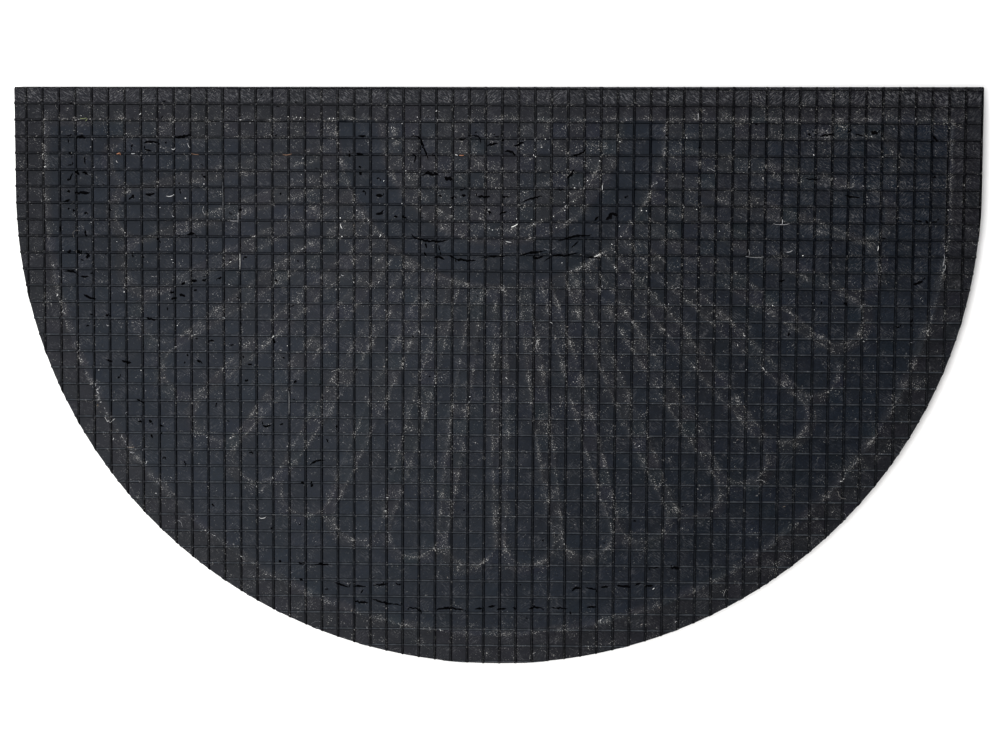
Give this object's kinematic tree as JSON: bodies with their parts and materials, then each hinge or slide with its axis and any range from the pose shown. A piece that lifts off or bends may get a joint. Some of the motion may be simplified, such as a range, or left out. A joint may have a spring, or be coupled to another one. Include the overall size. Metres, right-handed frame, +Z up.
{
  "type": "half-round coir doormat with a ribbed rubber backing, lying face down",
  "caption": "Half-round doormat: coir pile set in a moulded rubber backing with a square rib grid, lying on its pile with the ribbed back up.",
  "frame": {"origin": "centre of the mat's bounding rectangle, at floor level under the pile", "axes": "+X along the straight edge, +Y from the curved edge to the straight edge, +Z up out of the ribbed back, which lies uppermost"},
  "size_m": [0.7472, 0.45, 0.014],
  "materials": {
    "moulded_rubber": "matte charcoal rubber with a faint blue cast",
    "natural_coir": "natural golden-brown coconut fibre, cut pile"
  },
  "bodies": {
    "root": {"rubber_backing": "moulded_rubber", "coir_pile": "natural_coir"}
  },
  "joints": []
}
